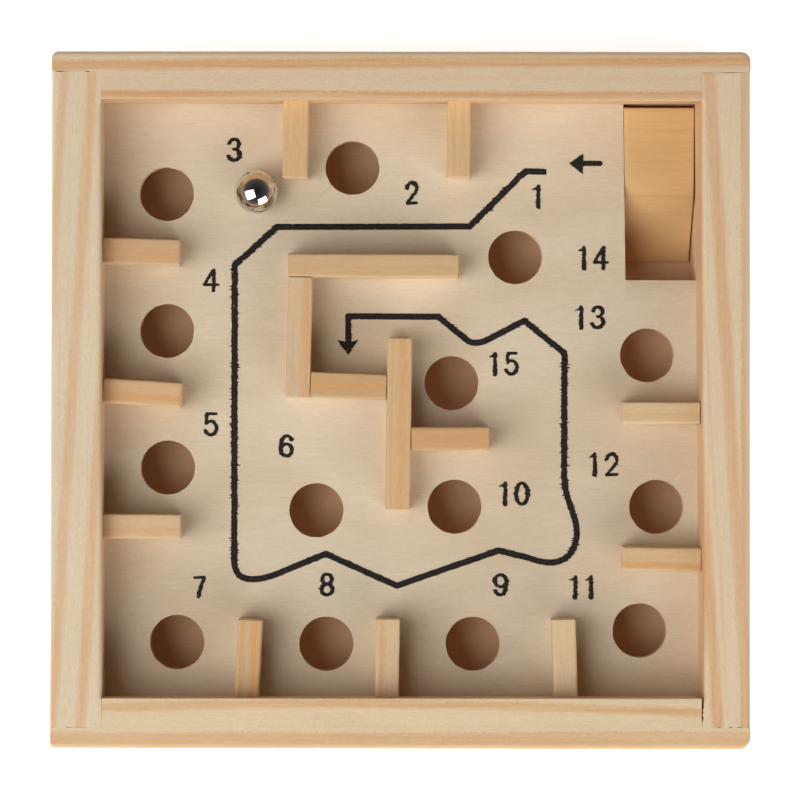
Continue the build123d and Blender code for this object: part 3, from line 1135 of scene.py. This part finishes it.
def pine_rail(name):
    """Pale sanded pine with this rail's own growth bands, fine fibres and faint pores."""
    grain = RAIL_GRAIN[name]
    shader = Shader("pine_" + name)
    low, high = corners_mm(name)
    centre = (low + high) / 2
    place = shader.coordinates((centre[0], centre[1], RAIL_HEIGHT), math.radians(grain["turn"]))
    start = 10 * grain["seed"]
    fibres = shader.noise(place, (0.5, 3.2, 3.2), 4.0, 0.75, (start, 0, 0))
    specks = shader.noise(place, (2.0, 3.4, 3.4), 2.0, 0.6, (start, 2, 0))
    streaks = shader.noise(place, (0.03, 1.1, 1.1), 3.0, 0.6, (start, 7, 0))
    patches = shader.noise(place, (0.05, 0.12, 0.12), 2.0, 0.5, (start, 9, 0))
    late_wood, fine_rings = rail_late_wood(shader, place, grain, specks, streaks)
    colour = shader.mix(late_wood, grain["pale"], PINE_BAND)
    colour = rail_sides(shader, colour, place, fine_rings, grain)
    colour = shader.mix(shader.smooth(late_wood, 0.72, 1.0, 0.0, 0.3), colour, PINE_DEEP)
    colour = shader.vary(colour, fibres, 0.925, 1.07)
    colour = shader.vary(colour, specks, 0.96, 1.035)
    colour = shader.vary(colour, patches, 0.975, 1.02)
    relief = shader.total(shader.times(fibres, 0.7), shader.times(late_wood, 0.3))
    normal = shader.bump(relief, 0.05, 0.5)
    roughness = shader.between(fibres, 0.62, 0.5)
    return shader.finish(colour, roughness, normal, Specular_IOR_Level=0.35)


# ---------- plywood ----------
# The third board colour, its underside veneer, is painted paler and warmer than its top: painted light
# that throws more bounced light into the holes
BOARD_VENEERS = paint(215, 199, 173), paint(209, 189, 160), paint(252, 202, 148)
FLOOR_VENEERS = paint(216, 181, 142), paint(209, 173, 133), paint(212, 186, 152)
PLY_CORE = paint(232, 184, 134)
GLUE_LINE = paint(120, 84, 54)
DARK = (0.0, 0.0, 0.0, 1.0)
# Painted glow, no lamp: an emission on the maze board's underside that stands in for light that has come
# through the thin board, seen on its underside
UNDERSIDE_PAINTED_GLOW = (0.058, 0.042, 0.032, 1.0)
GLUE_PLACE = 0.19                # from the middle of the thickness to a glue line, as a share of it


def plywood(name, top, bottom, veneer, veneer_warm, under, underside_glow=None):
    """Pale veneer with fine short grain along x; the cut edges show the core and glue lines. A given
    underside glow is emitted there as painted light.
    """
    shader = Shader(name)
    place = shader.coordinates((0.0, 0.0, bottom), 0.0)
    height = shader.math("DIVIDE", shader.split(place)[2], top - bottom)
    dashes = shader.noise(place, (0.35, 3.6, 3.6), 3.0, 0.7)
    specks = shader.noise(place, (1.6, 3.4, 3.4), 2.0, 0.6, (7, 2, 0))
    streaks = shader.noise(place, (0.06, 1.6, 1.6), 4.0, 0.6, (5, 1, 0))
    clouds = shader.noise(place, (0.035, 0.06, 0.06), 2.0, 0.5, (2, 8, 0))
    core_grain = shader.noise(place, (3.0, 0.3, 3.0), 3.0, 0.6)
    face = shader.mix(shader.smooth(clouds, 0.38, 0.66), veneer, veneer_warm)
    face = shader.vary(face, dashes, 0.94, 1.055)
    face = shader.vary(face, specks, 0.975, 1.025)
    face = shader.vary(face, streaks, 0.975, 1.02)
    face = shader.mix(shader.smooth(height, 0.0, 0.3, 1.0, 0.0), face, under)
    core = shader.vary(PLY_CORE, core_grain, 0.8, 1.15)
    from_middle = shader.away(height, 0.5)
    in_core = shader.smooth(from_middle, GLUE_PLACE - 0.02, GLUE_PLACE, 1.0, 0.0)
    on_glue = shader.smooth(shader.away(from_middle, GLUE_PLACE), 0.008, 0.02, 0.8, 0.0)
    colour = shader.mix(in_core, face, core)
    colour = shader.mix(on_glue, colour, GLUE_LINE)
    # The underside emits a painted glow, standing in for light come through the board
    if underside_glow:
        glow = shader.mix(shader.smooth(height, 0.0, 0.4, 1.0, 0.0), DARK, underside_glow)
        shader.join(glow, shader.surface.inputs["Emission Color"])
        shader.join(1.0, shader.surface.inputs["Emission Strength"])
    normal = shader.bump(dashes, 0.035, 0.5)
    return shader.finish(colour, shader.between(dashes, 0.66, 0.54), normal, Specular_IOR_Level=0.3)


# ---------- ramp and sticks ----------
RAMP_PALE = paint(216, 176, 122)
RAMP_BAND = paint(200, 146, 88)


def ramp_wood():
    """Yellow pine with its grain across the slope."""
    shader = Shader("ramp_pine")
    low, high = corners_mm("return_ramp")
    place = shader.coordinates(tuple((low + high) / 2), 0.0)
    _, across, height = shader.split(place)
    wander = shader.noise(place, (0.12, 0.1, 0.1), 2.0, 0.5)
    fibres = shader.noise(place, (0.25, 5.0, 5.0), 4.0, 0.6)
    wandering = shader.linear(wander, 0.0, 1.0, -1.2, 1.2)
    ring = shader.total(across, shader.times(height, 0.4), wandering)
    lines = shader.ring_noise(ring, 3.0, 0.75)
    colour = shader.mix(shader.smooth(lines, 0.45, 0.75, 0.0, 0.45), RAMP_PALE, RAMP_BAND)
    colour = shader.vary(colour, fibres, 0.95, 1.04)
    normal = shader.bump(fibres, 0.05, 0.5)
    return shader.finish(colour, shader.between(fibres, 0.6, 0.48), normal, Specular_IOR_Level=0.35)


STICK_BAND = paint(212, 158, 98)
# Painted light: paler sides that throw more bounced light into the shadows beside the sticks
STICK_SIDE_PAINTED_LIGHT = paint(236, 214, 184)
# Painted shadow that the left rail casts on the ends of the sticks next to it
STICK_END_PAINTED_SHADOW = paint(158, 108, 72)

# Each stick's body colour, and its growth bands: centre in millimetres across from the stick's
# middle line, half width, fade and strength
STICKS = {
    "wall_back_left": (paint(210, 178, 132), [(-0.6, 0.5, 0.9, 0.25), (1.5, 0.1, 0.4, 0.4)]),
    "wall_back_right": (paint(210, 180, 134), [(0.9, 0.15, 0.4, 0.4), (-0.9, 0.15, 0.4, 0.35)]),
    "wall_left_back": (paint(201, 164, 122), [(-0.7, 0.5, 0.9, 0.3)]),
    "wall_left_middle": (paint(208, 174, 131), [(-0.9, 0.1, 0.9, 0.75)]),
    "wall_left_front": (paint(210, 180, 140), [(-0.9, 0.2, 0.8, 0.3)]),
    "wall_front_left": (paint(202, 172, 134), [(-0.85, 0.1, 0.8, 1.0), (1.35, 0.1, 0.7, 0.7)]),
    "wall_front_middle": (paint(211, 184, 148), [(1.0, 0.15, 0.7, 0.6)]),
    "wall_front_right": (paint(215, 190, 152), []),
    "wall_right_back": (paint(215, 188, 148), [(-0.3, 0.5, 0.9, 0.2)]),
    "wall_right_front": (paint(212, 180, 136), [(-1.2, 0.1, 0.7, 0.8)]),
    "wall_middle_long_cross": (paint(205, 173, 130), [(-1.2, 0.2, 0.6, 0.2)]),
    "wall_middle_left": (paint(209, 181, 144), [(-1.3, 0.2, 0.9, 0.6)]),
    "wall_middle_short_cross": (paint(198, 161, 117), [(0.1, 0.1, 0.8, 0.9)]),
    "wall_middle_long": (paint(210, 176, 132), [(-0.6, 0.3, 0.9, 0.5), (1.4, 0.1, 0.5, 0.25)]),
    "wall_middle_right": (paint(201, 160, 113), [(0.0, 0.5, 0.9, 0.3)]),
}


def stick_wood(node, centre, turn, seed):
    """A stick's own piece of light wood: its tone, its bands, its flecks and its fibres, with paler
    painted sides and, on the left sticks, a painted shadow of the left rail at their left ends.
    """
    body, bands = STICKS[node]
    shader = Shader("wood_" + node)
    place = shader.coordinates((centre[0], centre[1], BOARD_TOP), turn)
    along, across, height = shader.split(place)
    wander = shader.noise(place, (0.1, 0.3, 0.3), 2.0, 0.5, (seed, 0, 0))
    fibres = shader.noise(place, (0.5, 3.2, 3.2), 4.0, 0.7, (seed, 0, 0))
    streaks = shader.noise(place, (0.06, 1.5, 1.5), 3.0, 0.6, (seed, 4, 0))
    flecks = shader.noise(place, (1.0, 1.8, 1.8), 4.0, 0.7, (seed, 6, 0))
    lean = shader.times(shader.math("SUBTRACT", height, STICK_HEIGHT), 0.3)
    wandering = shader.linear(wander, 0.0, 1.0, -0.6, 0.6)
    ring = shader.total(across, lean, wandering, shader.between(flecks, -0.22, 0.22))

    colour = shader.mix(shader.smooth(flecks, 0.38, 0.66, 0.0, 0.22), body, STICK_BAND)
    colour = shader.vary(colour, streaks, 0.955, 1.05)
    if bands:
        straight = [(middle, 0.0, 0.0, *rest) for middle, *rest in bands]
        colour = shader.mix(growth_bands(shader, along, ring, straight), colour, STICK_BAND)
    # Painted shadow of the left rail, browning the left ends of the left sticks
    if reach(node, -1) and node.startswith("wall_left"):
        end = -BLOCKS[node][1] / 2
        colour = shader.mix(shader.smooth(along, end, end + 3.0, 0.35, 0.0), colour, STICK_END_PAINTED_SHADOW)
    # Painted light: the sides below the top edge are paler than the top
    below_top = shader.smooth(height, STICK_HEIGHT - 0.6, STICK_HEIGHT - 0.1, 0.55, 0.0)
    colour = shader.mix(below_top, colour, STICK_SIDE_PAINTED_LIGHT)
    colour = shader.vary(colour, fibres, 0.935, 1.06)
    normal = shader.bump(fibres, 0.05, 0.5)
    return shader.finish(colour, shader.between(fibres, 0.6, 0.46), normal, Specular_IOR_Level=0.35)


# ---------- ink and steel ----------
INK_BLACK = paint(20, 16, 15)
INK_FAINT = paint(38, 31, 27)
INK_BARE = paint(150, 130, 108)
STEEL = paint(224, 224, 222)
STEEL_DULL = paint(206, 204, 200)


def black_ink():
    """Stamped ink: nearly black, fainter along the fibres, with specks where it missed."""
    shader = Shader("black_ink")
    place = shader.coordinates((0.0, 0.0, 0.0), 0.0)
    specks = shader.noise(place, (4.5, 7.0, 4.0), 2.0, 0.5)
    fibres = shader.noise(place, (0.6, 8.0, 4.0), 3.0, 0.6, (3, 0, 0))
    colour = shader.mix(shader.linear(fibres, 0.35, 0.7, 0.0, 1.0), INK_BLACK, INK_FAINT)
    colour = shader.mix(shader.smooth(specks, 0.62, 0.72, 0.0, 0.5), colour, INK_BARE)
    normal = shader.bump(fibres, 0.02, 0.5)
    return shader.finish(colour, shader.between(fibres, 0.75, 0.6), normal, Specular_IOR_Level=0.2)


def polished_steel():
    """Bearing steel with fine wear marks."""
    shader = Shader("polished_steel")
    place = shader.coordinates(tuple((BALL_LOW + BALL_HIGH) / 2), 0.6)
    marks = shader.noise(place, (0.7, 3.5, 1.1), 4.0, 0.65)
    smudges = shader.noise(place, (0.35, 0.35, 0.35), 3.0, 0.6, (4, 4, 4))
    colour = shader.mix(shader.smooth(smudges, 0.4, 0.7), STEEL, STEEL_DULL)
    worn = shader.smooth(marks, 0.52, 0.74, 0.03, 0.1)
    roughness = shader.total(worn, shader.smooth(smudges, 0.5, 0.75, 0.0, 0.04))
    return shader.finish(colour, roughness, shader.bump(marks, 0.002, 0.3), Metallic=1.0)


# ---------- stage ----------
CAMERA_PLACE = (-8.052, -10.227, 720.0)          # millimetres
CAMERA_TURN = (0.8367, -0.6547, 0.0715)          # degrees
CAMERA_LENS = 170.5
# Each softbox: its centre seen from the board, the direction of its width, its width and height,
# in metres, and its power
SOFTBOXES = {
    "softbox_left": {
        "centre": (-0.726, -0.367, 1.056), "across": (0.703, 0.150, 0.696),
        "size": (1.25, 1.08), "power": 16.7,
    },
    "softbox_front": {
        "centre": (0.704, -0.994, 0.634), "across": (0.893, 0.425, -0.150),
        "size": (1.09, 0.82), "power": 11.7,
    },
}
TABLE_HALF = 2.0                 # metres
TABLE_GLOW = 0.7                 # keeps the table white where the box shades it
# The dark room round the table: light from below, from the level and from above
ROOM_BELOW = (0.62, 0.42, 0.31, 1.0)
ROOM_LEVEL = (0.1, 0.082, 0.076, 1.0)
ROOM_ABOVE = (0.018, 0.02, 0.024, 1.0)


def camera():
    """Looks almost straight down at the board, from far enough away to keep it square."""
    data = bpy.data.cameras.new("camera")
    data.lens = CAMERA_LENS
    data.sensor_width = 36.0
    data.dof.use_dof = False
    made = bpy.data.objects.new("camera", data)
    made.location = [c * MM for c in CAMERA_PLACE]
    made.rotation_euler = [math.radians(a) for a in CAMERA_TURN]
    bpy.context.scene.collection.objects.link(made)
    bpy.context.scene.camera = made


def softbox(name, centre, across, size, power):
    """A rectangular lamp that faces the board."""
    data = bpy.data.lights.new(name, "AREA")
    data.shape = "RECTANGLE"
    data.size, data.size_y = size
    data.energy = power
    lamp = bpy.data.objects.new(name, data)
    back = Vector(centre).normalized()
    up = back.cross(Vector(across)).normalized()
    side = up.cross(back)
    lamp.matrix_world = Matrix.Translation(centre) @ Matrix((side, up, back)).transposed().to_4x4()
    bpy.context.scene.collection.objects.link(lamp)


def floor():
    """A wide pale table top."""
    shape = bmesh.new()
    bmesh.ops.create_grid(shape, x_segments=8, y_segments=8, size=TABLE_HALF)
    mesh = bpy.data.meshes.new("floor")
    shape.to_mesh(mesh)
    shape.free()
    made = bpy.data.objects.new("floor", mesh)
    bpy.context.scene.collection.objects.link(made)
    shader = Shader("pale_floor")
    place = shader.coordinates((0.0, 0.0, 0.0), 0.0)
    mottle = shader.noise(place, (0.02, 0.02, 0.02), 2.0, 0.5)
    colour = shader.mix(mottle, paint(246, 246, 246), paint(250, 250, 250))
    glow = {"Emission_Color": (1, 1, 1, 1), "Emission_Strength": TABLE_GLOW}
    dress(made, shader.finish(colour, 0.8, **glow))


def surroundings():
    """The room that the ball mirrors and that lights the shadows."""
    world = bpy.data.worlds.new("studio")
    world.use_nodes = True
    nodes, links = world.node_tree.nodes, world.node_tree.links
    upward = nodes.new("ShaderNodeSeparateXYZ")
    links.new(nodes.new("ShaderNodeTexCoord").outputs["Generated"], upward.inputs[0])
    ramp = nodes.new("ShaderNodeValToRGB")
    ramp.color_ramp.elements[0].color = ROOM_BELOW
    ramp.color_ramp.elements[1].color = ROOM_ABOVE
    ramp.color_ramp.elements.new(0.45).color = ROOM_LEVEL
    links.new(upward.outputs["Z"], ramp.inputs["Fac"])
    links.new(ramp.outputs["Color"], nodes["Background"].inputs["Color"])
    bpy.context.scene.world = world
    bpy.context.scene.view_settings.view_transform = "Standard"


# ---------- build ----------
camera()
surroundings()
floor()
for lamp_name, lamp in SOFTBOXES.items():
    softbox(lamp_name, **lamp)

for count, rail_name in enumerate(RAILS):
    make = end_rail if RAILS[rail_name]["corners"] else side_rail
    dress(make(rail_name, 30 + 10 * count), pine_rail(rail_name))
for count, wall_name in enumerate(WALL_NODES):
    stick_piece, stick_centre, stick_turn = stick(wall_name, 80 + count)
    dress(stick_piece, stick_wood(wall_name, stick_centre, stick_turn, 13.0 * count))
board_wood = plywood("board_plywood", BOARD_TOP, BOARD_BOTTOM, *BOARD_VENEERS, UNDERSIDE_PAINTED_GLOW)
floor_wood = plywood("floor_plywood", FLOOR_TOP, FLOOR_BOTTOM, *FLOOR_VENEERS)
dress(maze_board(), board_wood)
dress(frame["nodes"]["base_board"], floor_wood)
dress(return_ramp(), ramp_wood())
dress(steel_ball(), polished_steel())
ink = black_ink()
for mark in printed_marks():
    dress(mark, ink)
